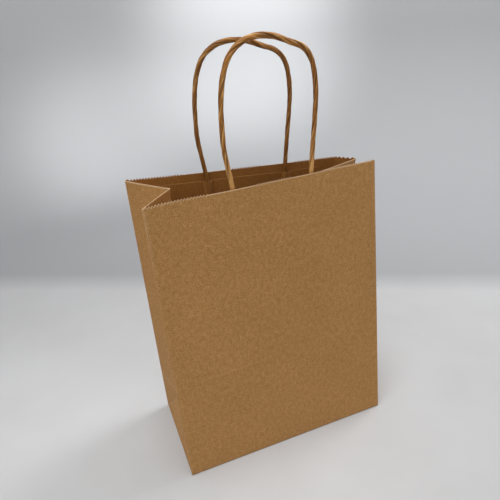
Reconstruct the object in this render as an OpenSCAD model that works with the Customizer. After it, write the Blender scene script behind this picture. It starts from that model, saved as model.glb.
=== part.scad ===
// Twisted-handle paper gift bag, standing open on its base.
// Millimetres, +Z up, origin on the floor at the middle of the base, front faces -Y.
// The walls lean in towards the mouth, more at the right side than at the left,
// so each upper wall is a slightly twisted sheet.

/* [Bag] */
// Width of the front and back walls
bag_w = 203; // [180:1:240]
// Depth of the base, front to back
bag_d = 102; // [90:1:120]
// Height of the walls, measured along the paper
bag_h = 257; // [230:1:300]
// Thickness of one layer of paper
paper_t = 0.5; // [0.4:0.05:0.6]

/* [Creases] */
// Height of the cross crease in the front wall
front_crease_h = 100; // [90:1:110]
// Height of the cross crease in the back wall
back_crease_h = 46; // [40:1:55]
// Height of the point where the creases of a gusset meet
star_h = 50; // [45:1:60]

/* [Mouth] */
// Lean of the front wall's left top corner
front_lean_left = 6; // [0:1:10]
// Lean of the front wall's right top corner
front_lean_right = 25; // [15:1:28]
// Lean of the back wall's left top corner
back_lean_left = 12; // [5:1:16]
// Lean of the back wall's right top corner
back_lean_right = 48; // [30:1:50]

/* [Handles] */
// Diameter of the twisted cord
cord_d = 3.8; // [3:0.1:3.9]
// How far the front handle sits right of the middle
front_handle_shift = 3.5; // [0:0.5:5]
// Length of cord glued down below each leg
cord_end_len = 44; // [35:1:50]

/* [Patches] */
// Width of the patches that hold the cord ends
patch_w = 145; // [120:1:150]
// Height of the patches
patch_h = 45; // [38:1:52]
// Distance from the bag's top edge down to a patch
patch_drop = 7.5; // [6:0.5:10]

/* [Base and seam] */
// How far each long flap of the base runs past the middle
flap_lap = 15; // [10:1:25]
// Depth of the folded-in ends of the base
tuck_len = 46; // [35:1:49]
// Width of the glued seam inside the back wall
seam_w = 15; // [10:1:20]

/* [Hidden] */
// Gap left between glued layers, so that each stays a solid of its own
layer_gap = 0.1;
// Gap left along a crease between two moving walls
crease_gap = 0.3;
// Gap left on each side of a gusset's folds
fold_clear = 0.15;
layer_step = paper_t + layer_gap;
// Depth inside a wall's outer face where each layer starts
backing_depth = layer_step;
cover_depth = 2 * layer_step;
cord_depth = cover_depth + cord_d / 2;
gusset_depth = 2 * layer_step + layer_gap;
// Width of the tent that the cover strip makes over a cord end, flat top and foot
tent_top = 2.4;
tent_foot = 9;
// The loop starts this far above the top edge
loop_start = 0.5;
// Clearance of the base layers from the walls
base_clear = 1.5;
// Mesh steps across and up a twisted wall
wall_cols = 12;
wall_rows = 8;
cord_sides = 8;
// Route of a handle's loop: along the top edge from the handle's middle, and up
HANDLE_ROUTE = [
    [-35, 0], [-37, 14], [-39, 30], [-39, 46], [-38, 62], [-35, 78],
    [-29, 91], [-19, 99], [-7, 102], [6, 101], [18, 97], [29, 93],
    [36, 85], [39, 74], [40, 60], [39, 44], [37, 24], [35, 0]
];
leg_x = HANDLE_ROUTE[len(HANDLE_ROUTE) - 1][0];
kraft = [0.66, 0.50, 0.33];
kraft_light = [0.73, 0.58, 0.42];
kraft_inside = [0.52, 0.37, 0.22];
cord_brown = [0.68, 0.47, 0.27];

// ---- Places on the walls ----
// u runs 0 to 1 from the left side to the right, s is the height along the paper,
// and depth goes from the outer face into the bag.

function mix(a, b, t) = a + (b - a) * t;
function wall_x(u) = (u - 0.5) * bag_w;
function wall_u(x) = x / bag_w + 0.5;
function front_lean(u) = mix(front_lean_left, front_lean_right, u);
function back_lean(u) = mix(back_lean_left, back_lean_right, u);
function leg_of(slant, lean) = sqrt(slant * slant - lean * lean);

function front_at(u, s, depth = 0) =
    [wall_x(u),
     -bag_d / 2 + depth + front_lean(u) * s / bag_h,
     leg_of(bag_h, front_lean(u)) * s / bag_h];

back_slant = bag_h - back_crease_h;
function back_part(s) = max(0, s - back_crease_h) / back_slant;
function back_at(u, s, depth = 0) =
    [wall_x(u),
     bag_d / 2 - depth - back_lean(u) * back_part(s),
     min(s, back_crease_h) + leg_of(back_slant, back_lean(u)) * back_part(s)];

function wall_at(side, u, s, depth = 0) =
    side == "front" ? front_at(u, s, depth) : back_at(u, s, depth);

// The gusset's centre fold: u is 0 for the left side and 1 for the right.
function fold_inset(gap) = sqrt(max(0, bag_d * bag_d - gap * gap)) / 2;
function inward_x(u) = u < 0.5 ? 1 : -1;
function fold_at(u, s) =
    let (f = front_at(u, s), b = back_at(u, s))
    [wall_x(u) + inward_x(u) * fold_inset(b.y - f.y), (f.y + b.y) / 2, s];
function fold_star(u) = fold_at(u, star_h);
function fold_top(u) =
    let (star = fold_star(u), top = fold_at(u, bag_h), run = top - star)
    [top.x, top.y, star_h + sqrt(pow(bag_h - star_h, 2) - run.x * run.x - run.y * run.y)];

// ---- Sheets ----

function unit(v) = v / norm(v);
function flatten(rows) = [for (row = rows) for (item = row) item];
function steps(n) = [for (i = [0:n]) i / n];

// A closed sheet between two grids of points that match.
module sheet(outer, inner) {
    rows = len(outer) - 1;
    cols = len(outer[0]) - 1;
    half = (rows + 1) * (cols + 1);
    across = outer[0][1] - outer[0][0];
    up = outer[1][0] - outer[0][0];
    flip = cross(up, across) * (inner[0][0] - outer[0][0]) < 0;
    function at(i, j) = i * (cols + 1) + j;
    rim = concat(
        [for (i = [0:rows - 1]) [at(i, 0), at(i + 1, 0)]],
        [for (j = [0:cols - 1]) [at(rows, j), at(rows, j + 1)]],
        [for (i = [0:rows - 1]) [at(i + 1, cols), at(i, cols)]],
        [for (j = [0:cols - 1]) [at(0, j + 1), at(0, j)]]);
    cells = [for (i = [0:rows - 1]) for (j = [0:cols - 1]) each
        [[at(i, j), at(i + 1, j), at(i + 1, j + 1)],
         [at(i, j), at(i + 1, j + 1), at(i, j + 1)]]];
    faces = concat(
        cells,
        [for (c = cells) [half + c[0], half + c[2], half + c[1]]],
        [for (e = rim) each [[e[1], e[0], half + e[0]], [e[1], half + e[0], half + e[1]]]]);
    polyhedron(
        points = concat(flatten(outer), flatten(inner)),
        faces = flip ? [for (f = faces) [f[0], f[2], f[1]]] : faces);
}

// A stretch of wall between two heights and two sides, given depth and thickness.
module wall_stretch(side, u0, u1, s0, s1, depth, cols = wall_cols, rows = wall_rows) {
    outer = [for (j = steps(rows)) [for (i = steps(cols))
        wall_at(side, mix(u0, u1, i), mix(s0, s1, j), depth)]];
    inner = [for (j = steps(rows)) [for (i = steps(cols))
        wall_at(side, mix(u0, u1, i), mix(s0, s1, j), depth + paper_t)]];
    sheet(outer, inner);
}

// A flat or slightly twisted leaf with corners a, b (bottom) and d, c (top).
module leaf(a, b, c, d, into, n = 6) {
    lift = unit(cross(b - a, d - a));
    shift = (lift * into < 0 ? -lift : lift) * paper_t;
    outer = [for (j = steps(n)) [for (i = steps(n)) mix(mix(a, b, i), mix(d, c, i), j)]];
    inner = [for (row = outer) [for (p = row) p + shift]];
    sheet(outer, inner);
}

// A triangular leaf.
module triangle_leaf(a, b, c, into) {
    lift = unit(cross(b - a, c - a));
    ahead = lift * into > 0;
    shift = (ahead ? lift : -lift) * paper_t;
    rim = ahead ? [a, b, c] : [a, c, b];
    polyhedron(
        points = concat(rim, [for (p = rim) p + shift]),
        faces = [[0, 1, 2], [3, 5, 4], [1, 0, 3, 4], [2, 1, 4, 5], [0, 2, 5, 3]]);
}

// ---- Walls ----

module front_panel()
    color(kraft) wall_stretch("front", 0, 1, front_crease_h + crease_gap / 2, bag_h, 0);

module front_lower_panel()
    color(kraft) wall_stretch("front", 0, 1, 0, front_crease_h - crease_gap / 2, 0);

module back_panel()
    color(kraft) wall_stretch("back", 0, 1, back_crease_h + crease_gap / 2, bag_h, 0);

module back_lower_panel()
    color(kraft) wall_stretch("back", 0, 1, 0, back_crease_h - crease_gap / 2, 0);

// ---- Gussets ----
// Each half gusset runs from a wall's side edge in to the centre fold.

function gusset_into(u) = [inward_x(u), 0, 0];
function front_edge(u, s) = front_at(u, s, gusset_depth);
function back_edge(u, s) = back_at(u, s, gusset_depth);
// Both halves stop just short of the fold line.
function toward(a, b, gap) = a + unit(b - a) * gap;

module upper_leaf(u, low_edge, top_edge)
    leaf(low_edge, toward(fold_star(u), low_edge, fold_clear),
        toward(fold_top(u), top_edge, fold_clear), top_edge, gusset_into(u));

module gusset_front(u)
    upper_leaf(u, front_edge(u, front_crease_h + crease_gap), front_edge(u, bag_h));

module gusset_back(u)
    upper_leaf(u, back_edge(u, back_crease_h + crease_gap), back_edge(u, bag_h));

// The three lower leaves fan out below the star, each drawn in towards its own middle.
module fan_leaf(a, b, c, u) {
    middle = (a + b + c) / 3;
    triangle_leaf(toward(a, middle, fold_clear * 2), toward(b, middle, fold_clear * 2),
        toward(c, middle, fold_clear * 2), gusset_into(u));
}

module gusset_front_foot(u)
    fan_leaf(front_edge(u, 0), front_edge(u, front_crease_h - 2 * crease_gap),
        fold_star(u) - [0, fold_clear, 0], u);

module gusset_back_foot(u)
    fan_leaf(back_edge(u, 0), back_edge(u, back_crease_h - 2 * crease_gap),
        fold_star(u) + [0, fold_clear, -2 * crease_gap], u);

module gusset_base(u)
    fan_leaf(front_edge(u, 0), back_edge(u, 0), fold_star(u) - [0, 0, 2 * crease_gap], u);

module left_gusset_front() color(kraft_light) gusset_front(0);
module left_gusset_back() color(kraft_light) gusset_back(0);
module left_gusset_front_foot() color(kraft_light) gusset_front_foot(0);
module left_gusset_back_foot() color(kraft_light) gusset_back_foot(0);
module left_gusset_base() color(kraft_light) gusset_base(0);
module right_gusset_front() color(kraft_light) gusset_front(1);
module right_gusset_back() color(kraft_light) gusset_back(1);
module right_gusset_front_foot() color(kraft_light) gusset_front_foot(1);
module right_gusset_back_foot() color(kraft_light) gusset_back_foot(1);
module right_gusset_base() color(kraft_light) gusset_base(1);

// ---- Base ----
// The two ends are folded in first, then the front flap, then the back flap outside.

base_half_w = bag_w / 2 - base_clear;
base_half_d = bag_d / 2 - base_clear;

module bottom_outer_flap()
    color(kraft)
    translate([-base_half_w, -flap_lap, 0])
    cube([2 * base_half_w, base_half_d + flap_lap, paper_t]);

module bottom_inner_flap()
    color(kraft)
    translate([-base_half_w, -base_half_d, layer_step])
    cube([2 * base_half_w, base_half_d + flap_lap, paper_t]);

module bottom_tuck(side)
    color(kraft_inside)
    translate([0, 0, 2 * layer_step])
    linear_extrude(paper_t)
    polygon([
        [side * base_half_w, -base_half_d],
        [side * base_half_w, base_half_d],
        [side * (base_half_w - tuck_len), base_half_d - tuck_len],
        [side * (base_half_w - tuck_len), tuck_len - base_half_d]]);

module bottom_left_tuck() bottom_tuck(-1);
module bottom_right_tuck() bottom_tuck(1);

// ---- Glued seam inside the back wall, at its right edge ----

seam_u = 1 - seam_w / bag_w;

module seam_lap()
    color(kraft_inside)
    wall_stretch("back", seam_u, 1, back_crease_h + crease_gap / 2, bag_h, backing_depth, cols = 2);

module seam_lap_lower()
    color(kraft_inside)
    wall_stretch("back", seam_u, 1, 2 * base_clear, back_crease_h - crease_gap / 2,
        backing_depth, cols = 2);

// ---- Handle patches ----
// The backing strip is glued to the wall, and the cover strip tents over the cord ends.

patch_top = bag_h - patch_drop;
patch_bottom = patch_top - patch_h;

function handle_middle(side) = side == "front" ? front_handle_shift : 0;
function tent(x, side) =
    let (off = abs(abs(x - handle_middle(side)) - leg_x))
    (cord_d + layer_gap) * max(0, min(1, (tent_foot - off) / (tent_foot - tent_top)));
// Places across a patch where the cover bends
function patch_stations(side) = [
    -patch_w / 2,
    for (leg = [-leg_x, leg_x]) for (off = [-tent_foot, -tent_top, tent_top, tent_foot])
        handle_middle(side) + leg + off,
    patch_w / 2
];

module patch_backing(side)
    color(kraft_inside)
    wall_stretch(side, wall_u(-patch_w / 2), wall_u(patch_w / 2), patch_bottom, patch_top,
        backing_depth);

module patch_cover(side) {
    xs = patch_stations(side);
    outer = [for (j = steps(4)) [for (x = xs)
        wall_at(side, wall_u(x), mix(patch_bottom, patch_top, j), cover_depth + tent(x, side))]];
    inner = [for (j = steps(4)) [for (x = xs)
        wall_at(side, wall_u(x), mix(patch_bottom, patch_top, j),
            cover_depth + tent(x, side) + paper_t)]];
    color(kraft_inside) sheet(outer, inner);
}

module front_patch_backing() patch_backing("front");
module front_patch_cover() patch_cover("front");
module back_patch_backing() patch_backing("back");
module back_patch_cover() patch_cover("back");

// ---- Handles ----

module rod(from, to, d) {
    run = to - from;
    translate(from)
    rotate([0, acos(run.z / norm(run)), atan2(run.y, run.x)])
    cylinder(h = norm(run), d = d, $fn = 24);
}

module cord_ends(side)
    color(cord_brown)
    for (leg = [-leg_x, leg_x]) {
        u = wall_u(handle_middle(side) + leg);
        rod(wall_at(side, u, bag_h - cord_end_len, cord_depth),
            wall_at(side, u, bag_h, cord_depth), cord_d);
    }

// The handle's own frame: its middle on the top edge, along the edge, up and into the bag.
function handle_origin(side) = wall_at(side, wall_u(handle_middle(side)), bag_h);
function edge_along(side) = unit(wall_at(side, 1, bag_h) - wall_at(side, 0, bag_h));
function edge_into(side) =
    unit(cross([0, 0, side == "front" ? 1 : -1], edge_along(side)));
function edge_up(side) =
    cross(edge_along(side), edge_into(side)) * (side == "front" ? 1 : -1);
function handle_place(side, along, rise, depth) =
    handle_origin(side) + along * edge_along(side) + rise * edge_up(side)
    + depth * edge_into(side);

// Smooth curve through the route's points, with one point added in each gap.
function spline(p0, p1, p2, p3, t) =
    ((2 * p1) + (p2 - p0) * t + (2 * p0 - 5 * p1 + 4 * p2 - p3) * t * t
    + (3 * p1 - p0 - 3 * p2 + p3) * t * t * t) / 2;
function route_point(k) = HANDLE_ROUTE[max(0, min(len(HANDLE_ROUTE) - 1, k))];
loop_curve = [
    for (k = [0:len(HANDLE_ROUTE) - 2]) each
        [route_point(k),
         spline(route_point(k - 1), route_point(k), route_point(k + 1), route_point(k + 2), 0.5)],
    route_point(len(HANDLE_ROUTE) - 1)
];
// The legs start just above the edge.
function loop_lifted(p) = [p[0], max(p[1], loop_start)];

module handle(side) {
    last = len(loop_curve) - 1;
    rings = [for (k = [0:last])
        let (
            here = loop_lifted(loop_curve[k]),
            run = unit(loop_curve[min(last, k + 1)] - loop_curve[max(0, k - 1)]),
            ahead = k == 0 ? [0, 1] : (k == last ? [0, -1] : run))
        [for (i = [0:cord_sides - 1])
            let (
                a = 360 * (i + 0.5) / cord_sides,
                out = cord_d / 2 * cos(a),
                deep = cord_d / 2 * sin(a))
            handle_place(side, here[0] - out * ahead[1], here[1] + out * ahead[0],
                cord_depth + deep)]];
    n = cord_sides;
    side_faces = [for (k = [0:last - 1]) for (i = [0:n - 1]) each
        [[k * n + i, k * n + (i + 1) % n, (k + 1) * n + (i + 1) % n],
         [k * n + i, (k + 1) * n + (i + 1) % n, (k + 1) * n + i]]];
    faces = concat(
        side_faces,
        [[for (i = [n - 1:-1:0]) i]],
        [[for (i = [0:n - 1]) last * n + i]]);
    color(cord_brown)
    polyhedron(
        points = flatten(rings),
        faces = side == "front" ? faces : [for (f = faces) [for (i = [len(f) - 1:-1:0]) f[i]]]);
}

module front_cord_ends() cord_ends("front");
module back_cord_ends() cord_ends("back");
module front_handle() handle("front");
module back_handle() handle("back");

front_panel();
front_lower_panel();
back_panel();
back_lower_panel();
left_gusset_front();
left_gusset_back();
left_gusset_front_foot();
left_gusset_back_foot();
left_gusset_base();
right_gusset_front();
right_gusset_back();
right_gusset_front_foot();
right_gusset_back_foot();
right_gusset_base();
bottom_outer_flap();
bottom_inner_flap();
bottom_left_tuck();
bottom_right_tuck();
seam_lap();
seam_lap_lower();
front_patch_backing();
front_patch_cover();
front_cord_ends();
front_handle();
back_patch_backing();
back_patch_cover();
back_cord_ends();
back_handle();
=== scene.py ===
"""The looks of a kraft paper gift bag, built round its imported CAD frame. Metres, +Z up, front faces -Y."""

import math

import bpy
import numpy as np
from mathutils import Matrix, Vector

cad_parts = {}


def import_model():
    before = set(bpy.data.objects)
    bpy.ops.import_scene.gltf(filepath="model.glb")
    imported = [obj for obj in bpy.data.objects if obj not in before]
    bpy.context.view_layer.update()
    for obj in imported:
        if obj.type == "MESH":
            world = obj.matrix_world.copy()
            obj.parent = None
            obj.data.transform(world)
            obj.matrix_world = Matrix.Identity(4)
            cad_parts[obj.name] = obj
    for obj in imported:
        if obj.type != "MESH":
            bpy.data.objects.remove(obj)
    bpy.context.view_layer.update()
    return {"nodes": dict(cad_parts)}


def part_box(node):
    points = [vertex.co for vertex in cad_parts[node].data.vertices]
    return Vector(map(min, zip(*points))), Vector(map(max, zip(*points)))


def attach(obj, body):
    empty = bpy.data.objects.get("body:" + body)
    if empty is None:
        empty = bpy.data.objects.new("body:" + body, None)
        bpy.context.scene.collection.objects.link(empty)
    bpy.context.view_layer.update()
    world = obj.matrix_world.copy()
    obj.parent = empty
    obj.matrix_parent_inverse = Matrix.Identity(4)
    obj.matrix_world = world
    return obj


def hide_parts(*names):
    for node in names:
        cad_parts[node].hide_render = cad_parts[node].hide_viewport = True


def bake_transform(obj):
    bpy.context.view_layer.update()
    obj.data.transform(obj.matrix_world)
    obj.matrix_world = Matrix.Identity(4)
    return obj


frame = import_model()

# ---- Driving values ----

PAPER = 0.00035             # thickness of a sheet
FOLD_R = 0.0005             # outer radius of a fold
BASE_R = 0.0009             # outer radius of the fold under a wall
SHARPEST = 0.0006           # how near its corner the rounding of a sharp fold begins
WRAP = 0.0016               # how far a wall's sheet turns round its side corners
TOOTH = 0.0024              # pitch of the saw-cut top edge
TOOTH_DEPTH = 0.0019        # from a tip to the deepest notch
TIP_RISE = 0.0011           # how far the tips stand above the straight edge of the CAD walls
FRONT_TEETH = 0.9           # how much of their depth the front wall's teeth show
GUSSET_TEETH = 0.2          # how much of their depth the gussets' teeth show
TOOTH_WORN = 0.00015        # what is left of the teeth beside the handles
CUT_BAND = 0.0008           # height of the paler band under a cut: frayed fibres and a painted highlight along the edge
ROW_STEP = 0.004            # height between the rows of a wall's mesh
CREASE_RISE = 0.00010       # height of the ridge that a cross crease leaves
CREASE_REACH = 0.0016       # half the height of that ridge
TURN_UNDER = 0.004          # how far a wall's sheet turns in under the base
TURN_UNDER_CORNER = 0.0003  # the same at the corners, where it would meet the gussets
TURNED_LEN = 0.005          # length of paper from a wall's foot to that turned edge
CORNER_FADE = 0.004         # length over which the one passes into the other
WEAR_FADE = 0.002           # length over which the wear of the teeth begins and ends
STAR_H = 0.050              # height at which a gusset's creases meet
TUCK_LEN = 0.046            # how far an end tuck reaches under the base
SEAM_W, SEAM_DROP = 0.015, 0.0026     # width of the glued lap, and how far below the mouth it ends
PATCH_W, PATCH_H = 0.145, 0.045       # size of a patch strip
PATCH_DROP = 0.0075         # how far below the mouth the patches begin
BACKING_DEPTH, COVER_DEPTH = 0.0006, 0.0012     # of the strips, inside a wall's outer face
STRIP = 0.0002              # thickness of a strip
CORD_D = 0.0038             # diameter of a cord
CORD_DEPTH = COVER_DEPTH + CORD_D / 2     # of a cord's middle, inside a wall's outer face
CORD_END = 0.044            # length of cord glued down below each leg
CORD_TURN = 0.053           # length in which the two plies go round once
HANDLE_SHIFT = {"front": 0.0035, "back": 0.0016}    # of a handle's middle, to the right
HANDLE_SPREAD = {"front": 1.0, "back": 1.035}       # how wide a handle is, against its route
# Stretches of each top edge where handling has worn the teeth away, across from the middle.
WORN_EDGE = {
    "front": ((-0.054, -0.013), (0.017, 0.042)),
    "back": ((-0.056, -0.010), (0.014, 0.048)),
}
CORD_STEP = 0.0008          # length between the rings of a cord's mesh
CORD_GRIP = 0.006           # how far below the top edge a cord lies flat against its wall
FOOT_RISE = 0.0005          # how far above the top edge a handle's loop begins
PAINTED_LIGHT_LEN, PAINTED_LIGHT_FADE = 0.008, 0.022    # how far up its legs the front cord has a painted light, and fades

# How far the slack paper stands off: a broad wave, a ripple and the dent near the front's left end.
FRONT_SLACK, FRONT_RIPPLE, FRONT_DENT = 0.0006, 0.00022, 0.0022
BACK_SLACK, BACK_RIPPLE = 0.0112, 0.0004

# Route of a handle's loop: along the top edge from the handle's middle, and up.
HANDLE_ROUTE = [
    (-0.035, 0.000), (-0.037, 0.014), (-0.039, 0.030), (-0.039, 0.046), (-0.038, 0.062),
    (-0.035, 0.078), (-0.029, 0.091), (-0.019, 0.099), (-0.007, 0.102), (0.006, 0.101),
    (0.018, 0.097), (0.029, 0.093), (0.036, 0.085), (0.039, 0.074), (0.040, 0.060),
    (0.039, 0.044), (0.037, 0.024), (0.035, 0.000),
]
LEG_X = {side: spread * HANDLE_ROUTE[-1][0] for side, spread in HANDLE_SPREAD.items()}

# How far the top of each gusset's centre fold, left and right, is pulled out of its even place.
FOLD_PULLED = np.array([(0.0, 0.0, 0.0), (0.0025, -0.0065, -0.0015)])

# How far apart on the paper's pattern the sheets lie that mustn't look alike.
LEAVES_APART, BASE_APART, LININGS_APART = 0.4, 0.2, 0.3

# ---- Places from the frame ----


def corner(node, toward):
    """The corner of a CAD node that lies farthest along a direction."""
    points = np.array([v.co for v in frame["nodes"][node].data.vertices])
    return points[(points @ np.array(toward, float)).argmax()]


def mix(a, b, t):
    return a + (b - a) * t


def unit(v):
    return v / np.linalg.norm(v, axis=-1, keepdims=True)


def smooth(t):
    t = np.clip(t, 0.0, 1.0)
    return t * t * (3 - 2 * t)


# The outer corners of the walls: [left, right] at the bottom, the cross crease and the top.
FRONT_LOW = [corner("front_lower_panel", (x, -1, -1)) for x in (-1, 1)]
FRONT_TOP = [corner("front_panel", (x, -1, 1)) for x in (-1, 1)]
BACK_LOW = [corner("back_lower_panel", (x, 1, -1)) for x in (-1, 1)]
BACK_CREASE = [corner("back_panel", (x, 1, -1)) for x in (-1, 1)]
BACK_TOP = [corner("back_panel", (x, 1, 1)) for x in (-1, 1)]
WIDTH = FRONT_LOW[1][0] - FRONT_LOW[0][0]
DEPTH = BACK_LOW[0][1] - FRONT_LOW[0][1]
HEIGHT = float(np.linalg.norm(FRONT_TOP[0] - FRONT_LOW[0]))
FRONT_CREASE_H = float(np.linalg.norm(corner("front_panel", (-1, -1, -1)) - FRONT_LOW[0]))
BACK_CREASE_H = float(BACK_CREASE[0][2])
INSIDE = {"front": np.array([0.0, 1.0, 0.0]), "back": np.array([0.0, -1.0, 0.0])}


def bow(side, u, s):
    """How far a wall bows outward: a slack sheet, held at its side folds and by the base."""
    v = s / HEIGHT
    held = np.sin(np.pi * u) * smooth(v * 2.2)
    near_mouth = smooth(v * 1.6 - 0.6)
    if side == "front":
        slack = FRONT_SLACK * np.sin(2.1 * np.pi * u + 0.6) * np.sin(1.7 * np.pi * v + 0.4)
        ripple = FRONT_RIPPLE * np.sin(5.3 * np.pi * u + 2.0 * v) * np.sin(4.1 * np.pi * v + 1.0)
        dent = FRONT_DENT * np.exp(-(((u - 0.13) / 0.09) ** 2)) * smooth(u / 0.05) * near_mouth
        return held * (slack + ripple) - dent
    ripple = BACK_RIPPLE * np.sin(4.4 * np.pi * u + 1.1) * np.sin(2.3 * np.pi * v)
    rise = np.clip((s - BACK_CREASE_H) / (HEIGHT - BACK_CREASE_H), 0, 1)
    slack = BACK_SLACK * (np.abs(u) / 0.85) ** 1.7 * smooth((1 - u) / 0.075) * rise**1.5
    return held * ripple + slack


def wall_at(side, u, s, depth=0.0):
    """A point on a wall: u is 0 at the left fold and 1 at the right, s is the height along the paper."""
    u, s = np.broadcast_arrays(np.asarray(u, float), np.asarray(s, float))
    u, s = u[..., None], s[..., None]
    if side == "front":
        point = mix(mix(FRONT_LOW[0], FRONT_LOW[1], u), mix(FRONT_TOP[0], FRONT_TOP[1], u), s / HEIGHT)
    else:
        crease = mix(BACK_CREASE[0], BACK_CREASE[1], u)
        foot = mix(mix(BACK_LOW[0], BACK_LOW[1], u), crease, s / BACK_CREASE_H)
        rise = (s - BACK_CREASE_H) / (HEIGHT - BACK_CREASE_H)
        upper = mix(crease, mix(BACK_TOP[0], BACK_TOP[1], u), rise)
        point = np.where(s < BACK_CREASE_H, foot, upper)
    return point + INSIDE[side] * (depth - bow(side, u, s))


def edge_at(side, end, s):
    """A point on the fold between a wall and a gusset; end is 0 at the left and 1 at the right."""
    return wall_at(side, float(end), s)


def fold_at(end, s):
    """Where a gusset's centre fold would be at height s if each half kept its width."""
    front, back = edge_at("front", end, s), edge_at("back", end, s)
    gap = back[..., 1] - front[..., 1]
    inset = np.sqrt(np.maximum(0.0, DEPTH**2 - gap**2)) / 2
    return np.array([front[0] + (inset if end == 0 else -inset), (front[1] + back[1]) / 2, s])


def fold_ends(end):
    """The star point and the top of a gusset's centre fold, which keeps its length."""
    star, top = fold_at(end, STAR_H), fold_at(end, HEIGHT)
    run = top - star
    top[2] = STAR_H + math.sqrt((HEIGHT - STAR_H) ** 2 - run[0] ** 2 - run[1] ** 2)
    return star, top + FOLD_PULLED[end]


CREASE_H = {"front": FRONT_CREASE_H, "back": BACK_CREASE_H}
HALF_GUSSET = DEPTH / 2
LEAF_LAP, LAP_INSET = 0.0022, 0.0006    # how far an upper gusset half goes on behind the facet below it


def leaf_at(side, end, i, j):
    """A point on the upper half gusset: i from the wall's fold to the centre fold, j up to the mouth."""
    star, top = fold_ends(end)
    i, j = np.asarray(i, float)[..., None], np.asarray(j, float)[..., None]
    low = mix(edge_at(side, end, CREASE_H[side]), star, i)
    high = mix(edge_at(side, end, HEIGHT), top, i)
    return mix(low, high, j)


def beside_fold(side, end, s):
    """The point on the gusset at WRAP from its fold with a wall, level with s on that fold."""
    i = WRAP / HALF_GUSSET
    low_s = mix(CREASE_H[side], STAR_H, i)
    on_leaf = leaf_at(side, end, i, (s - low_s) / (HEIGHT - low_s))
    bottom, crease = edge_at(side, end, 0.0), edge_at(side, end, CREASE_H[side])
    up = unit(crease - bottom)
    across = fold_ends(end)[0] - bottom
    across = unit(across - (across @ up) * up)
    on_foot = edge_at(side, end, s) + across * WRAP
    return np.where((s >= low_s)[..., None], on_leaf, on_foot)


# ---- Meshes ----


def teeth(a, worn):
    """How far the saw-cut edge lies below its tips, at places a along it that fall on tips and notches.

    Where worn is 1 the edge is nearly straight and lies midway between tips and notches.
    """
    k = np.round(a / (TOOTH / 2)).astype(int)
    uneven = 0.94 + 0.06 * np.sin(k * 12.9898 + 4.1) * np.sin(k * 3.233)
    depth = mix(TOOTH_DEPTH, TOOTH_WORN, worn)
    notched = depth * np.where(k % 2 == 0, 0.12 * (1 - uneven), uneven)
    return notched + worn * TOOTH_DEPTH / 2


def tooth_places(low, high):
    """Places along an edge, one at each tip and notch."""
    first = math.ceil(low / (TOOTH / 2) + 0.35)
    last = math.floor(high / (TOOTH / 2) - 0.35)
    return np.arange(first, last + 1) * TOOTH / 2


def grid_normals(grid, inside):
    """The unit normals of a grid of points, turned towards the inside."""
    across = np.gradient(grid, axis=1)
    up = np.gradient(grid, axis=0)
    normals = unit(np.cross(across, up) + 1e-15)
    sign = np.sign((normals * inside).sum(-1).mean())
    return normals * sign


def sheet(name, outer, inside, paper, cut=None, wear_and_highlight=None, looks=None,
          inner_rim=None, thickness=PAPER):
    """A closed sheet of paper from the grid of its outer face.

    paper holds each point's place on the flat sheet, cut is 1 at a cut edge and wear_and_highlight 1 on a
    fold; both make the paper paler: frayed fibres at a cut, worn fibres at a fold, and at both a painted
    highlight.
    inner_rim gives the inner points of the last column, where two sheets share a fold.
    """
    rows, cols = outer.shape[:2]
    normals = grid_normals(outer, np.asarray(inside, float))
    inner = outer + normals * thickness
    if inner_rim is not None:
        inner[:, -1] = inner_rim
    index = np.arange(rows * cols).reshape(rows, cols)
    quads = np.stack([index[:-1, :-1], index[:-1, 1:], index[1:, 1:], index[1:, :-1]], -1).reshape(-1, 4)
    lift = np.cross(outer[0, 1] - outer[0, 0], outer[1, 0] - outer[0, 0])
    if lift @ normals[0, 0] > 0:
        quads = quads[:, ::-1]
    ring = np.concatenate([index[0, :], index[1:, -1], index[-1, -2::-1], index[-2:0:-1, 0]])
    rim = np.stack([ring, np.roll(ring, -1), np.roll(ring, -1) + rows * cols, ring + rows * cols], -1)
    middle = outer.reshape(-1, 3).mean(0)
    first = rim[0]
    points = np.concatenate([outer.reshape(-1, 3), inner.reshape(-1, 3)])
    side = np.cross(points[first[1]] - points[first[0]], points[first[3]] - points[first[0]])
    if side @ (points[first[0]] - middle) < 0:
        rim = rim[:, ::-1]
    faces = np.concatenate([quads, quads[:, ::-1] + rows * cols, rim])
    mesh = bpy.data.meshes.new(name)
    mesh.from_pydata(points.tolist(), [], faces.tolist())
    kinds = np.concatenate([np.zeros(len(quads)), np.ones(len(quads)), np.full(len(rim), 2)])
    mesh.polygons.foreach_set("material_index", kinds.astype(np.int32))
    mesh.polygons.foreach_set("use_smooth", np.ones(len(faces), bool))
    mesh.set_sharp_from_angle(angle=math.radians(50))
    blank = np.zeros((rows, cols))
    flat = np.stack([paper[0], paper[1], blank], -1).reshape(-1, 3)
    set_attribute(mesh, "paper", "FLOAT_VECTOR", np.concatenate([flat, flat + (0, 0, 0.5)]))
    for label, values, showing_through in (("cut", cut, 0.15), ("wear_and_highlight", wear_and_highlight, 0.6)):
        values = (blank if values is None else np.broadcast_to(values, (rows, cols))).ravel()
        set_attribute(mesh, label, "FLOAT", np.concatenate([values, values * showing_through]))
    mesh.validate()
    piece = bpy.data.objects.new(name, mesh)
    bpy.context.scene.collection.objects.link(piece)
    for look in looks or (KRAFT_OUT, KRAFT_IN, KRAFT_CUT):
        mesh.materials.append(look)
    return piece


def set_attribute(mesh, name, kind, values):
    attribute = mesh.attributes.new(name, kind, "POINT")
    field = "vector" if kind == "FLOAT_VECTOR" else "value"
    attribute.data.foreach_set(field, np.asarray(values, np.float32).ravel())


# ---- Materials ----


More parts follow.
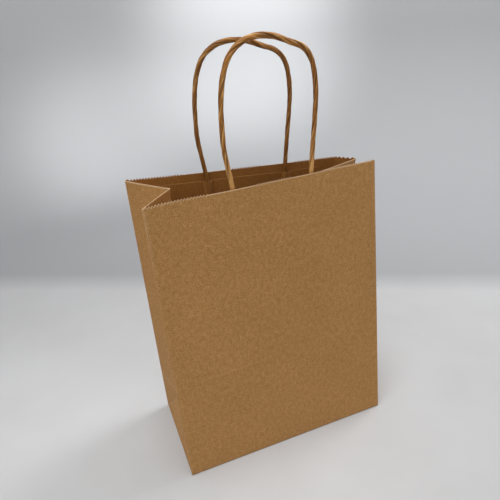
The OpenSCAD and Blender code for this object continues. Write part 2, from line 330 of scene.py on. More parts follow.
class Nodes:
    """Short calls for building one material's nodes."""

    def __init__(self, name):
        self.material = bpy.data.materials.new(name)
        self.material.use_nodes = True
        self.tree = self.material.node_tree
        self.shader = self.tree.nodes["Principled BSDF"]

    def add(self, kind, **settings):
        node = self.tree.nodes.new(kind)
        for key, value in settings.items():
            setattr(node, key, value)
        return node

    def wire(self, source, target):
        self.tree.links.new(source, target)

    def attribute(self, name, output="Fac"):
        return self.add("ShaderNodeAttribute", attribute_name=name).outputs[output]

    def stretched(self, vector, scale):
        node = self.add("ShaderNodeMapping")
        node.inputs["Scale"].default_value = scale
        self.wire(vector, node.inputs["Vector"])
        return node.outputs["Vector"]

    def noise(self, vector, scale, detail=3.0, rough=0.55, warp=0.0):
        node = self.add("ShaderNodeTexNoise")
        node.inputs["Scale"].default_value = scale
        node.inputs["Detail"].default_value = detail
        node.inputs["Roughness"].default_value = rough
        node.inputs["Distortion"].default_value = warp
        self.wire(vector, node.inputs["Vector"])
        return node.outputs["Fac"]

    def remap(self, value, low, high, to_low=0.0, to_high=1.0):
        node = self.add("ShaderNodeMapRange")
        for key, number in zip(("From Min", "From Max", "To Min", "To Max"), (low, high, to_low, to_high)):
            node.inputs[key].default_value = number
        self.wire(value, node.inputs["Value"])
        return node.outputs["Result"]

    def maths(self, operation, a, b):
        node = self.add("ShaderNodeMath", operation=operation)
        for socket, value in zip(node.inputs, (a, b)):
            if isinstance(value, (int, float)):
                socket.default_value = value
            else:
                self.wire(value, socket)
        return node.outputs[0]

    def colours(self, share, a, b):
        """Colour a where share is 0 and b where it is 1; each is a colour or another node's output."""
        node = self.add("ShaderNodeMix", data_type="RGBA")
        self.wire(share, node.inputs[0])
        for socket, value in ((node.inputs[6], a), (node.inputs[7], b)):
            if isinstance(value, tuple):
                socket.default_value = (*value, 1.0)
            else:
                self.wire(value, socket)
        return node.outputs[2]

    def bump(self, height, distance, strength=1.0, below=None):
        node = self.add("ShaderNodeBump")
        node.inputs["Strength"].default_value = strength
        node.inputs["Distance"].default_value = distance
        self.wire(height, node.inputs["Height"])
        if below is not None:
            self.wire(below, node.inputs["Normal"])
        return node.outputs["Normal"]


PALE_FIBRE_AND_HIGHLIGHT = (0.76, 0.54, 0.33)   # fibres laid bare at cuts and rubbed folds, and a painted highlight where cut edges and folds catch the light


def kraft(name, base, dark, light, cut_share=1.0):
    """Unbleached kraft paper: cloudy formation, fine vertical fibres, flecks, and cuts and folds made paler
    by frayed and worn fibres and by a painted highlight.
    """
    n = Nodes(name)
    place = n.attribute("paper", "Vector")
    cloud = n.noise(place, 22, 2.0)
    formation = n.noise(place, 640, 4.0, 0.65)
    mottle = n.noise(n.stretched(place, (1.0, 0.6, 1.0)), 340, 3.0, 0.6)
    grain = n.noise(place, 1300, 2.0, 0.7)
    fibre = n.noise(n.stretched(place, (1.0, 0.16, 1.0)), 1500, 2.0, 0.6, 0.3)
    cross = n.noise(n.stretched(place, (0.22, 1.0, 1.0)), 900, 2.0, 0.5, 0.4)
    fleck = n.noise(n.stretched(place, (1.0, 0.3, 1.0)), 700, 1.0, 0.4, 1.2)
    colour = n.colours(n.remap(cloud, 0.3, 0.7), dark, base)
    colour = n.colours(n.remap(formation, 0.38, 0.72, 0.0, 1.0), colour, light)
    colour = n.colours(n.remap(mottle, 0.34, 0.66, 0.0, 0.85), colour, dark)
    colour = n.colours(n.remap(grain, 0.48, 0.70, 0.0, 0.9), colour, light)
    colour = n.colours(n.remap(grain, 0.50, 0.30, 0.0, 0.9), colour, dark)
    colour = n.colours(n.remap(fibre, 0.5, 0.75, 0.0, 0.8), colour, dark)
    colour = n.colours(n.remap(cross, 0.52, 0.8, 0.0, 0.4), colour, light)
    colour = n.colours(n.remap(fleck, 0.72, 0.80, 0.0, 0.35), colour, tuple(c * 0.6 for c in dark))
    # Folds are paler for worn fibres and for a painted highlight where they catch the light.
    worn = n.maths("MULTIPLY", n.attribute("wear_and_highlight"), n.remap(formation, 0.25, 0.65, 0.25, 0.9))
    colour = n.colours(worn, colour, PALE_FIBRE_AND_HIGHLIGHT)
    # A cut edge is paler: frayed fibres, and a painted highlight where the edge catches the light.
    frayed_and_highlight = n.maths("MULTIPLY", n.attribute("cut"), n.remap(fibre, 0.2, 0.7, 0.55 * cut_share, cut_share))
    colour = n.colours(frayed_and_highlight, colour, PALE_FIBRE_AND_HIGHLIGHT)
    n.wire(colour, n.shader.inputs["Base Color"])
    n.wire(n.remap(formation, 0.3, 0.7, 0.70, 0.88), n.shader.inputs["Roughness"])
    n.shader.inputs["Specular IOR Level"].default_value = 0.35
    relief = n.bump(formation, 0.00012, 0.6)
    relief = n.bump(fibre, 0.00006, 0.7, relief)
    n.wire(n.bump(cloud, 0.0012, 0.35, relief), n.shader.inputs["Normal"])
    return n.material


def cord_paper(name):
    """Twisted kraft paper cord: fibres run along the plies; painted shade darkens the grooves and the whole
    back cord, painted highlights lie on the wrinkles, and the front cord's legs near the bag have a painted
    light.
    """
    n = Nodes(name)
    place = n.attribute("paper", "Vector")
    strand = n.noise(n.stretched(place, (1.0, 0.07, 1.0)), 1500, 3.0, 0.6, 0.2)
    wrinkle_and_highlight = n.noise(n.stretched(place, (1.0, 0.12, 1.0)), 620, 2.0, 0.5, 0.5)
    patches = n.noise(place, 60, 2.0)
    colour = n.colours(n.remap(patches, 0.3, 0.7), (0.340, 0.130, 0.019), (0.460, 0.194, 0.034))
    # Painted light: the front cord's legs near the bag are made paler and more golden, as where the lamps
    # fall on them.
    colour = n.colours(n.maths("MULTIPLY", n.attribute("painted_light"), 0.75), colour, (0.95, 0.52, 0.17))
    colour = n.colours(n.remap(strand, 0.42, 0.66, 0.0, 0.8), colour, (0.130, 0.042, 0.006))
    # Painted highlight on the ridges of the wrinkles.
    colour = n.colours(n.remap(wrinkle_and_highlight, 0.5, 0.70, 0.0, 0.8), colour, (0.850, 0.470, 0.140))
    # Painted shade in the grooves between the plies and in the fine creases.
    colour = n.colours(n.maths("MULTIPLY", n.attribute("groove"), 0.85), colour, (0.075, 0.022, 0.004))
    # Painted shade over the whole back cord.
    colour = n.colours(n.attribute("painted_shade"), colour, (0.130, 0.044, 0.005))
    n.wire(colour, n.shader.inputs["Base Color"])
    n.wire(n.remap(strand, 0.3, 0.7, 0.42, 0.7), n.shader.inputs["Roughness"])
    n.shader.inputs["Specular IOR Level"].default_value = 0.3
    n.shader.inputs["Sheen Weight"].default_value = 0.03
    n.shader.inputs["Sheen Roughness"].default_value = 0.35
    n.shader.inputs["Sheen Tint"].default_value = (1.0, 0.82, 0.58, 1.0)
    relief = n.bump(strand, 0.00012, 0.8)
    n.wire(n.bump(wrinkle_and_highlight, 0.00030, 0.8, relief), n.shader.inputs["Normal"])
    return n.material


KRAFT_OUT = kraft("kraft_outside", (0.476, 0.237, 0.071), (0.346, 0.163, 0.042), (0.660, 0.362, 0.131))
KRAFT_IN = kraft("kraft_inside", (0.42, 0.187, 0.042), (0.34, 0.144, 0.029), (0.52, 0.240, 0.060), 0.8)
# The cut faces of the paper are paler: frayed fibres, and a painted highlight where the edges catch the
# light.
KRAFT_CUT = kraft("kraft_cut", (0.70, 0.48, 0.28), (0.60, 0.39, 0.21), (0.78, 0.57, 0.36))
CORD = cord_paper("twisted_cord")

# ---- Walls ----


def wall_rows(crease_h, top):
    """Heights of a wall's rows: even steps, closer at the crease and under the cut edge."""
    steps = np.linspace(0, top, round(top / ROW_STEP) + 1)[1:-1]
    near = crease_h + CREASE_REACH * np.array([-1.6, -1, -0.6, -0.3, 0, 0.3, 0.6, 1, 1.6])
    clear = steps[(abs(steps - crease_h) > 2.2 * CREASE_REACH) & (steps < top - 3 * TOOTH_DEPTH)]
    clear = clear[clear > 2 * BASE_R]
    return np.unique(np.concatenate([[BASE_R], clear, near, [top - TOOTH_DEPTH - 2.2 * CUT_BAND]]))


def crease_ridge(s, crease_h):
    return np.exp(-(((s - crease_h) / (0.5 * CREASE_REACH)) ** 2))


def worn_by_legs(side, x):
    """1 on the stretches beside a handle's legs where the teeth are worn away, and 0 elsewhere."""
    worn = np.zeros(len(x))
    for low, high in WORN_EDGE[side]:
        worn = np.maximum(worn, smooth(np.minimum(x - low, high - x) / WEAR_FADE))
    return worn


def corner_columns(side, end, s, wall_dir):
    """The points that carry a wall's sheet round its side fold, from the wall to WRAP along the gusset."""
    c = edge_at(side, end, s)
    far = beside_fold(side, end, s)
    e1 = np.broadcast_to(wall_dir, c.shape)
    e2 = unit(far - c)
    half = np.arccos(np.clip((e1 * e2).sum(-1, keepdims=True), -1, 1)) / 2
    radius = np.minimum(FOLD_R, SHARPEST * np.tan(half))
    tangent = radius / np.tan(half)
    centre = c + unit(e1 + e2) * radius / np.sin(half)
    start, stop = unit(c + e1 * tangent - centre), unit(c + e2 * tangent - centre)
    turn = math.pi - 2 * half
    columns = []
    for t in np.linspace(0, 1, 7):
        ray = (np.sin((1 - t) * turn) * start + np.sin(t * turn) * stop) / np.sin(turn)
        columns.append(centre + ray * radius)
    columns.append(far)
    return np.stack(columns, 1)


TURN_ANGLES = np.radians([90, 68, 45, 22])     # where the fold under a wall has its rows


def wall_sheet(side):
    """A whole wall in one sheet: it turns under the base at the bottom and round both side folds."""
    crease_h = CREASE_H[side]
    x = tooth_places(-WIDTH / 2 + 1.3 * WRAP, WIDTH / 2 - 1.3 * WRAP)
    s = wall_rows(crease_h, HEIGHT)
    u = x / WIDTH + 0.5
    grid_s = np.repeat(s[:, None], len(x), 1)
    top_s = HEIGHT + TIP_RISE - teeth(x, worn_by_legs(side, x)) * (FRONT_TEETH if side == "front" else 1)
    under_cut = np.array([[CUT_BAND], [CUT_BAND / 2], [0]])
    grid_s = np.concatenate([grid_s, top_s - under_cut])
    ridge = CREASE_RISE * crease_ridge(grid_s, crease_h)
    flat = wall_at(side, u[None], grid_s) - INSIDE[side] * ridge[..., None]
    fold_s = np.append(s, HEIGHT + TIP_RISE - TOOTH_DEPTH / 2 - under_cut)
    across = unit(edge_at(side, 1, HEIGHT / 2) - edge_at(side, 0, HEIGHT / 2))
    left = corner_columns(side, 0, fold_s, across)[:, ::-1]
    right = corner_columns(side, 1, fold_s, -across)
    outer = np.concatenate([left, flat, right], 1)
    lead = np.array([-WRAP, *np.linspace(-1, 1, 7) * 0.8 * FOLD_R])
    paper_x = np.concatenate([-WIDTH / 2 + lead, x, WIDTH / 2 - lead[::-1]])
    paper_x = np.broadcast_to(paper_x, outer.shape[:2])
    beside = np.repeat(fold_s[:, None], left.shape[1], 1)
    paper_s = np.concatenate([beside, grid_s, beside], 1)
    inward = unit(grid_normals(outer, INSIDE[side])[0] * (1, 1, 0))
    bottom = outer[0]
    from_corner = WIDTH / 2 - np.abs(paper_x[0]) - FOLD_R
    under = mix(TURN_UNDER_CORNER, TURN_UNDER, smooth(from_corner / CORNER_FADE))[:, None]
    curl = [bottom + inward * (BASE_R + under) - (0, 0, BASE_R)]
    for angle in TURN_ANGLES:
        curl.append(bottom + inward * BASE_R * (1 - math.cos(angle)) - (0, 0, BASE_R * math.sin(angle)))
    outer = np.concatenate([np.array(curl), outer])
    paper_x = np.concatenate([np.repeat(paper_x[:1], len(curl), 0), paper_x])
    turned = np.array([TURNED_LEN, *BASE_R * TURN_ANGLES])
    paper_s = np.concatenate([paper_s[:1] - turned[:, None], paper_s])
    # The side folds, the cross crease and the bottom fold are paler, most near the mouth: worn fibres and a
    # painted highlight where the folds catch the light.
    rubbed_and_lit = mix(0.10, 0.55, smooth((paper_s / HEIGHT - 0.7) / 0.3))
    wear_and_highlight = np.exp(-(((np.abs(paper_x) - WIDTH / 2) / 0.0006) ** 2)) * rubbed_and_lit
    wear_and_highlight = np.maximum(wear_and_highlight, 0.05 * crease_ridge(paper_s, crease_h))
    wear_and_highlight = np.maximum(wear_and_highlight, 0.35 * np.exp(-((paper_s / 0.001) ** 2)))
    cut = np.zeros(paper_s.shape)
    cut[-1] = 1
    cut[-2] = 0.85
    name = f"{side}_wall_sheet"
    piece = sheet(name, outer, INSIDE[side], (paper_x, paper_s), cut, wear_and_highlight)
    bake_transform(piece)
    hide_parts(f"{side}_panel", f"{side}_lower_panel")


for side in ("front", "back"):
    wall_sheet(side)

# ---- Gussets ----

SIDES = ("left", "right")


def gusset_leaf(end, side):
    """The upper half of a gusset between a wall's fold and the centre fold."""
    star, top = fold_ends(end)
    into = np.array([1.0 if end == 0 else -1.0, 0.0, 0.0])
    crease_h = CREASE_H[side]
    a = np.concatenate([[WRAP], tooth_places(2 * WRAP, HALF_GUSSET), [HALF_GUSSET]])
    even_rows = np.linspace(0, 1, 46)[:-1] * (HEIGHT - 0.004)
    s = np.concatenate([even_rows, [HEIGHT - 0.0035, HEIGHT - 0.0021]])     # closer under the cut edge
    i = a / HALF_GUSSET
    j = np.append(s, HEIGHT) / HEIGHT
    grid_i, grid_j = np.meshgrid(i, j)
    grid_j[-1] -= teeth(a, np.zeros(len(a))) * GUSSET_TEETH / (HEIGHT - crease_h)
    outer = leaf_at(side, end, grid_i, grid_j)
    wall_crease, wall_foot = edge_at(side, end, crease_h), edge_at(side, end, 0.0)
    along = unit(star - wall_crease)
    down = unit((wall_foot - wall_crease) - ((wall_foot - wall_crease) @ along) * along)
    slack = 0.0008 * np.sin(np.pi * grid_i) * np.sin(np.pi * np.clip(grid_j, 0, 1) * 0.85)
    outer = outer - into * slack[..., None]
    low_s = mix(crease_h, STAR_H, grid_i)
    paper_s = mix(low_s, HEIGHT, grid_j)
    lap = np.array([LEAF_LAP, 0.2 * LEAF_LAP])[:, None]
    outer = np.concatenate([outer[:1] + lap[..., None] * down + LAP_INSET * into, outer])
    paper_s = np.concatenate([paper_s[:1] - lap, paper_s])
    grid_i, grid_j, low_s = (np.concatenate([g[:1], g[:1], g]) for g in (grid_i, grid_j, low_s))
    paper_x = (WIDTH / 2 + grid_i * HALF_GUSSET) * (-1 if end == 0 else 1)
    paper_x = paper_x + (LEAVES_APART if side == "back" else 0)
    # The centre fold and the foot of the leaf are paler: wear and a painted highlight.
    wear_and_highlight = np.exp(-(((1 - grid_i) * HALF_GUSSET / 0.0007) ** 2)) * 0.5
    wear_and_highlight = np.maximum(wear_and_highlight, 0.25 * np.exp(-((grid_j * (HEIGHT - low_s) / 0.0009) ** 2)))
    cut = np.zeros(grid_j.shape)
    cut[-1] = 1
    miter = 1.2 * PAPER
    piece = sheet(f"{SIDES[end]}_gusset_{side}_leaf", outer, into, (paper_x, paper_s), cut, wear_and_highlight,
                  inner_rim=outer[:, -1] + into * miter)
    fold = (top - star)[1:]
    toward = np.array([-fold[1], fold[0]]) / np.linalg.norm(fold)
    if toward[0] * INSIDE[side][1] > 0:
        toward = -toward
    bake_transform(piece)
    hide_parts(f"{SIDES[end]}_gusset_{side}")


FAN_STEPS = (26, 28, 14)    # points along the rim of the front, bottom and back facets


def gusset_fan(end):
    """The three facets below a gusset's star point, in one creased sheet that stays with the base."""
    star = fold_ends(end)[0]
    into = np.array([1.0 if end == 0 else -1.0, 0.0, 0.0])
    corners = []
    for side in ("front", "back"):
        low_s = mix(CREASE_H[side], STAR_H, WRAP / HALF_GUSSET)
        ends = beside_fold(side, end, np.array([FOLD_R, low_s]))
        corners.append(ends if side == "back" else ends[::-1])
    line = np.concatenate([corners[0], corners[1]])
    rim, rim_paper = [], []
    flat_line = np.array([
        (WRAP, CREASE_H["front"]), (WRAP, 0), (DEPTH - WRAP, 0), (DEPTH - WRAP, CREASE_H["back"])])
    for k, count in enumerate(FAN_STEPS):
        t = np.linspace(0, 1, count + 1)[: count + (k == 2), None]
        rim.append(mix(line[k], line[k + 1], t))
        rim_paper.append(mix(flat_line[k], flat_line[k + 1], t))
    rim, rim_paper = np.concatenate(rim), np.concatenate(rim_paper)
    reach = np.linspace(0.012, 1, 22)[:, None, None]     # begins just beside the star point
    outer = mix(star, rim[None], reach)
    flat_star = np.array([DEPTH / 2, STAR_H])
    paper = mix(flat_star, rim_paper[None], reach)
    crease = np.zeros(len(rim))
    crease[[0, FAN_STEPS[0], FAN_STEPS[0] + FAN_STEPS[1], -1]] = 1
    # The creases are paler: wear and a painted highlight.
    wear_and_highlight = 0.2 * crease[None] * np.ones((len(reach), 1))
    shift = (WIDTH / 2) * (-1 if end == 0 else 1)
    piece = sheet(f"{SIDES[end]}_gusset_fan", outer, into, (paper[..., 0] + shift, paper[..., 1]),
                  None, wear_and_highlight)
    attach(piece, "root")
    name = SIDES[end] + "_gusset"
    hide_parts(name + "_front_foot", name + "_back_foot", name + "_base")


for end in (0, 1):
    for side in ("front", "back"):
        gusset_leaf(end, side)
    gusset_fan(end)

# ---- Base ----


def flat_sheet(name, corners, z, rows=14, cols=40, cut=()):
    """A level sheet with corners (left, front), (right, front), (right, back), (left, back)."""
    c = np.array([[*p, z] for p in corners])
    i, j = np.meshgrid(np.linspace(0, 1, cols), np.linspace(0, 1, rows))
    i, j = i[..., None], j[..., None]
    outer = mix(mix(c[0], c[1], i), mix(c[3], c[2], i), j)
    edge = np.zeros((rows, cols))
    for row in cut:
        edge[row] = 1
    paper = (outer[..., 0], outer[..., 1] - BASE_APART)
    piece = sheet(name + "_sheet", outer, (0, 0, 1), paper, edge)
    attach(piece, "root")
    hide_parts(name)


OUTER_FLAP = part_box("bottom_outer_flap")
INNER_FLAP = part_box("bottom_inner_flap")
FLAPS = (("bottom_outer_flap", OUTER_FLAP, 0), ("bottom_inner_flap", INNER_FLAP, -1))
for name, (low, high), cut_row in FLAPS:
    flat_sheet(name, [(low.x, low.y), (high.x, low.y), (high.x, high.y), (low.x, high.y)], low.z,
               cut=(cut_row,))
for end in (0, 1):
    name = f"bottom_{SIDES[end]}_tuck"
    low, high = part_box(name)
    outer_x, inner_x = (low.x, high.x) if end == 0 else (high.x, low.x)
    drawn = high.y - TUCK_LEN
    flat_sheet(name, [(inner_x, -drawn), (outer_x, low.y), (outer_x, high.y), (inner_x, drawn)],
               low.z)

# ---- Seam and patches ----


def lining(name, side, x, s, depth, rise=None, body=None, blend_at=None, cut_top=True, nodes=()):
    """A strip glued inside a wall, at places x across and heights s, depth inside the wall's outer face."""
    u = x / WIDTH + 0.5
    grid_u, grid_s = np.meshgrid(u, s)
    lift = np.zeros(len(x)) if rise is None else rise
    outer = wall_at(side, grid_u, grid_s) + INSIDE[side] * (depth + lift)[None, :, None]
    cut = np.zeros(grid_u.shape)
    if cut_top:
        cut[-1] = 1
    cut[:, 0] = cut[:, -1] = 0.3 * cut_top
    piece = sheet(name, outer, INSIDE[side], (grid_u * WIDTH + LININGS_APART, grid_s), 0.35 * cut,
                  looks=(KRAFT_IN, KRAFT_IN, KRAFT_IN), thickness=STRIP)
    if blend_at is None:
        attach(piece, body)
    else:
        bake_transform(piece)
    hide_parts(*nodes)


seam_x = np.linspace(WIDTH / 2 - SEAM_W, WIDTH / 2 - 0.0012, 8)
seam_s = np.concatenate([wall_rows(BACK_CREASE_H, HEIGHT - SEAM_DROP)[1:], [HEIGHT - SEAM_DROP]])
lining("seam_lap_strip", "back", seam_x, seam_s, BACKING_DEPTH, body="back_wall",
       blend_at=BACK_CREASE_H, cut_top=False, nodes=("seam_lap", "seam_lap_lower"))

PATCH_TOP = HEIGHT - PATCH_DROP
TENT_RISE = CORD_D + 0.0002     # how far the cover strip stands off over a cord
TENT_FLAT = 0.0014          # half the width of that hump's level top
STEEP_FOOT, SLACK_FOOT = 0.0026, 0.0070     # how far from the cord it is down again, left and right


def patch_rows():
    low_rows = np.linspace(PATCH_TOP - PATCH_H, PATCH_TOP - 2 * CUT_BAND, 14)
    return np.append(low_rows, [PATCH_TOP - CUT_BAND, PATCH_TOP])


def tent(x, side):
    """How far the cover strip stands off over a cord: steep at the cord's left and slack at its right."""
    off = x - HANDLE_SHIFT[side]
    off = np.where(off < 0, off + LEG_X[side], off - LEG_X[side])
    foot = np.where(off < 0, STEEP_FOOT, SLACK_FOOT)
    return TENT_RISE * (1 - smooth((np.abs(off) - TENT_FLAT) / (foot - TENT_FLAT)))


for side in ("front", "back"):
    across = np.linspace(-PATCH_W / 2, PATCH_W / 2, 40)
    lining(f"{side}_patch_backing_strip", side, across, patch_rows(), BACKING_DEPTH,
           body=f"{side}_wall", nodes=(f"{side}_patch_backing",))
    leg_places = HANDLE_SHIFT[side] + np.array([-LEG_X[side], LEG_X[side]])
    over = leg_places[:, None] + np.linspace(-0.0045, 0.0075, 31)     # closer columns across the hump
    places = np.unique(np.concatenate([across, over.ravel()]).round(6))
    lining(f"{side}_patch_cover_strip", side, places, patch_rows(), COVER_DEPTH,
           rise=tent(places, side), body=f"{side}_wall", nodes=(f"{side}_patch_cover",))

# ---- Cords ----


def catmull(points, per_gap):
    """A smooth curve through the points."""
    p = np.concatenate([2 * points[:1] - points[1:2], points, 2 * points[-1:] - points[-2:-1]])
    t = np.linspace(0, 1, per_gap, endpoint=False)[:, None]
    out = []
    for k in range(1, len(p) - 2):
        a, b, c, d = p[k - 1 : k + 3]
        squared = 2 * a - 5 * b + 4 * c - d
        cubed = 3 * b - a - 3 * c + d
        out.append((2 * b + (c - a) * t + squared * t**2 + cubed * t**3) / 2)
    return np.concatenate([*out, points[-1:]])


def evenly(line, step):
    """The line again, with points about step apart, and how far along it each lies."""
    along = np.append(0, np.cumsum(np.linalg.norm(np.diff(line, axis=0), axis=1)))
    at = np.linspace(0, along[-1], round(along[-1] / step) + 1)
    return np.stack([np.interp(at, along, line[:, k]) for k in range(3)], 1), at


def handle_line(side):
    """The centreline of a handle's cord, from one glued end over the loop to the other."""
    middle = HANDLE_SHIFT[side]
    legs = (-LEG_X[side], LEG_X[side])
    feet = [wall_at(side, (middle + leg) / WIDTH + 0.5, HEIGHT) for leg in legs]
    origin, along = (feet[0] + feet[1]) / 2, unit(feet[1] - feet[0])
    into = unit(np.cross((0, 0, INSIDE[side][1]), along))
    up = INSIDE[side][1] * np.cross(along, into)
    loop = []
    for x, rise in HANDLE_ROUTE:
        above = max(rise, FOOT_RISE) * up
        loop.append(origin + x * HANDLE_SPREAD[side] * along + above + CORD_DEPTH * into)
    ends = []
    for leg in legs:
        u = (middle + leg) / WIDTH + 0.5
        drops = np.linspace(CORD_END, CORD_GRIP, 5)
        ends.append([wall_at(side, u, HEIGHT - drop, CORD_DEPTH) for drop in drops])
    return np.array([*ends[0], *loop, *ends[1][::-1]])


def transport(line):
    """Two unit vectors across the line at each point, that don't spin about it."""
    run = unit(np.gradient(line, axis=0))
    sides = [unit(np.cross(run[0], (0, 1, 0)))]
    for k in range(1, len(line)):
        v = sides[-1] - (sides[-1] @ run[k]) * run[k]
        sides.append(unit(v))
    sides = np.array(sides)
    return sides, np.cross(run, sides)


CORD_SIDES = 48             # points round a ring of a cord's mesh


def cord(side):
    """A handle: two twisted plies of paper, tight in the legs and looser over the top."""
    line, at = evenly(catmull(handle_line(side), 12), CORD_STEP)
    a, b = transport(line)
    length = at[-1]
    top = np.exp(-(((at - length * 0.52) / (0.14 * length)) ** 2))[:, None]
    phase = 1.3 if side == "front" else 2.6
    angle = np.linspace(0, 2 * math.pi, CORD_SIDES, endpoint=False)[None]
    turn = 2 * math.pi * at[:, None] / CORD_TURN
    ply = angle - turn + phase
    groove = np.exp(-((np.cos(ply) / 0.30) ** 2))
    wobble = 0.35 * np.sin(at[:, None] * 95 + phase) + 0.25 * np.sin(at[:, None] * 213 + 2 * phase)
    wide = np.abs(np.sin(2.5 * ply + 1.5 * wobble)) - 0.6
    narrow = np.abs(np.sin(4.5 * ply - 2.5 * wobble)) - 0.6
    fine = 0.65 * wide + 0.45 * narrow
    depth = mix(0.15, 0.25, top)
    radius = CORD_D / 2 * mix(0.99, 1.14, top) * (1 - depth * groove + 0.09 * fine)
    radius = radius * (1 + 0.02 * np.sin(at[:, None] * 160 + phase))
    ring = line[:, None] + radius[..., None] * (
        np.cos(angle)[..., None] * a[:, None] + np.sin(angle)[..., None] * b[:, None])
    rings = len(line)
    index = np.arange(rings * CORD_SIDES).reshape(rings, CORD_SIDES)
    nxt = np.roll(index, -1, 1)
    faces = np.stack([index[:-1], index[1:], nxt[1:], nxt[:-1]], -1).reshape(-1, 4)
    mesh = bpy.data.meshes.new(f"{side}_cord")
    caps = [index[0].tolist(), index[-1][::-1].tolist()]
    mesh.from_pydata(ring.reshape(-1, 3).tolist(), [], [*faces[:, ::-1].tolist(), *caps])
    mesh.polygons.foreach_set("use_smooth", np.ones(len(mesh.polygons), bool))
    flat = np.stack(np.broadcast_arrays(ply * CORD_D / 2, at[:, None], 0 * ply), -1)
    set_attribute(mesh, "paper", "FLOAT_VECTOR", flat)
    # Where the grooves between the plies and the fine creases get painted shade.
    set_attribute(mesh, "groove", "FLOAT", groove * mix(0.75, 1.0, top) + 0.9 * np.clip(-fine - 0.1, 0, 1))
    from_end = np.minimum(at, length - at) - CORD_END
    # Painted light on the front cord's legs near the bag; none on the back cord.
    painted_light = (1 - smooth((from_end - PAINTED_LIGHT_LEN) / PAINTED_LIGHT_FADE)) * (side == "front")
    set_attribute(mesh, "painted_light", "FLOAT", np.repeat(painted_light[:, None], CORD_SIDES, 1))
    # Painted shade: the whole back cord is darkened, as it stands in shade.
    set_attribute(mesh, "painted_shade", "FLOAT", np.full(ply.shape, 0.0 if side == "front" else 0.35))
    mesh.validate()
    mesh.materials.append(CORD)
    piece = bpy.data.objects.new(f"{side}_cord", mesh)
    bpy.context.scene.collection.objects.link(piece)
    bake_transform(piece)
    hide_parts(f"{side}_cord_ends", f"{side}_handle")


for side in ("front", "back"):
    cord(side)

# ---- Camera ----

CAMERA_AT = Vector((-0.1363, -0.3600, 0.3611))
AZIMUTH, ELEVATION, ROLL = math.radians(-20.63), math.radians(26.5), math.radians(-4.19)
LENS, SHIFT_X, SHIFT_Y = 33.75, -0.0202, 0.0302


def turned_camera():
    """The camera's place and turn: from the front left and above, with a hand-held camera's slight roll."""
    back = Vector((math.sin(AZIMUTH) * math.cos(ELEVATION), -math.cos(AZIMUTH) * math.cos(ELEVATION),
                   math.sin(ELEVATION)))
    right = (-back).cross(Vector((0, 0, 1))).normalized()
    up = right.cross(-back)
    rolled_right = math.cos(ROLL) * right + math.sin(ROLL) * up
    rolled_up = math.cos(ROLL) * up - math.sin(ROLL) * right
    turn = Matrix((rolled_right, rolled_up, back)).transposed().to_4x4()
    return Matrix.Translation(CAMERA_AT) @ turn


lens = bpy.data.cameras.new("camera")
lens.sensor_width, lens.lens = 36, LENS
lens.shift_x, lens.shift_y = SHIFT_X, SHIFT_Y
lens.clip_start = 0.01
camera = bpy.data.objects.new("camera", lens)
camera.matrix_world = turned_camera()
bpy.context.scene.collection.objects.link(camera)
bpy.context.scene.camera = camera
bpy.context.scene.view_settings.view_transform = "Standard"

# ---- Floor and light ----

SWEEP_FLAT, SWEEP_COVE, SWEEP_TOP = 0.75, 0.35, 1.5
BACKDROP_LINE = 0.248       # how far behind the bag's middle the floor's even colour ends and a painted shade begins, which pales farther back
BACKDROP_WAY = (0.487, 0.873, 0.0)    # the way in which that is measured


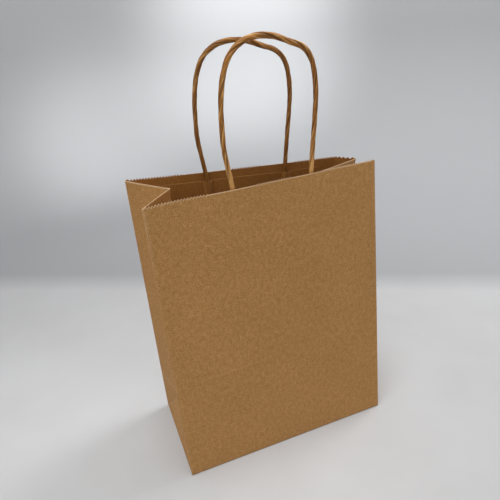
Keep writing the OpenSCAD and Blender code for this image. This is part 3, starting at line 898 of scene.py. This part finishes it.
def sweep():
    """A round studio sweep: a level floor that curves up into a wall all round. Beyond a line behind the bag
    its colour is a painted shade, darkest at that line and paler farther back.
    """
    n = Nodes("sweep")
    place = n.add("ShaderNodeTexCoord").outputs["Object"]
    way = n.add("ShaderNodeVectorMath", operation="DOT_PRODUCT")
    way.inputs[1].default_value = BACKDROP_WAY
    n.wire(place, way.inputs[0])
    behind = way.outputs["Value"]
    grain = n.noise(place, 9, 3.0)
    paper = n.colours(n.remap(grain, 0.35, 0.65), (0.460, 0.458, 0.458), (0.485, 0.485, 0.488))
    # Painted shade: darkest at BACKDROP_LINE and paler farther back, as the shade at the foot of a sweep.
    wall = n.colours(n.remap(behind, BACKDROP_LINE, 1.1), (0.325, 0.331, 0.340), (0.49, 0.499, 0.510))
    edge = n.remap(behind, BACKDROP_LINE, BACKDROP_LINE + 0.055)
    n.wire(n.colours(edge, paper, wall), n.shader.inputs["Base Color"])
    n.shader.inputs["Roughness"].default_value = 0.7
    n.shader.inputs["Specular IOR Level"].default_value = 0.25
    profile = [(SWEEP_FLAT * k / 6, 0.0) for k in range(1, 7)]
    for k in range(1, 17):
        turn = math.pi / 2 * k / 16
        profile.append((SWEEP_FLAT + SWEEP_COVE * math.sin(turn), SWEEP_COVE * (1 - math.cos(turn))))
    profile.append((SWEEP_FLAT + SWEEP_COVE, SWEEP_TOP))
    count = 96
    points = [(0.0, 0.0, 0.0)]
    for radius, z in profile:
        points += [(radius * math.cos(k * math.tau / count), radius * math.sin(k * math.tau / count), z)
                   for k in range(count)]
    faces = [(0, 1 + k, 1 + (k + 1) % count) for k in range(count)]
    for row in range(len(profile) - 1):
        low, high = 1 + row * count, 1 + (row + 1) * count
        faces += [(low + k, high + k, high + (k + 1) % count, low + (k + 1) % count) for k in range(count)]
    mesh = bpy.data.meshes.new("sweep")
    mesh.from_pydata(points, [], faces)
    mesh.polygons.foreach_set("use_smooth", np.ones(len(faces), bool))
    mesh.materials.append(n.material)
    piece = bpy.data.objects.new("sweep", mesh)
    bpy.context.scene.collection.objects.link(piece)


def lamp(name, kind, at, toward, size, power):
    """A disk light of that size across, or a spot whose cone is that wide."""
    light = bpy.data.lights.new(name, kind)
    if kind == "AREA":
        light.shape = "DISK"
        light.size = size
    else:
        light.spot_size, light.spot_blend, light.shadow_soft_size = size, 1.0, 0.1
    light.energy = power
    piece = bpy.data.objects.new(name, light)
    piece.location = at
    piece.rotation_euler = (Vector(toward) - Vector(at)).to_track_quat("-Z", "Y").to_euler()
    bpy.context.scene.collection.objects.link(piece)


def world():
    made = bpy.data.worlds.new("studio")
    made.use_nodes = True
    made.node_tree.nodes["Background"].inputs["Color"].default_value = (0.95, 0.97, 1.0, 1)
    made.node_tree.nodes["Background"].inputs["Strength"].default_value = 0.47
    bpy.context.scene.world = made


sweep()
world()
lamp("key", "AREA", (0.80, 0.16, 1.10), (0, 0, 0.15), 0.6, 8.4)
lamp("top", "AREA", (-0.10, -0.12, 1.40), (0, 0, 0.15), 0.6, 8.7)
lamp("fill", "AREA", (-0.85, -0.75, 0.65), (0, 0, 0.12), 0.8, 3.9)
lamp("backdrop_pool", "SPOT", (0.30, 0.55, 1.05), (0.40, 1.02, 0.48), math.radians(50), 36)
lamp("backdrop_glow", "SPOT", (-0.30, 0.45, 0.35), (-0.02, 1.05, 0.10), math.radians(50), 8.5)
lamp("floor_pool", "SPOT", (-0.34, -0.14, 1.10), (-0.28, -0.12, 0.0), math.radians(46), 15)
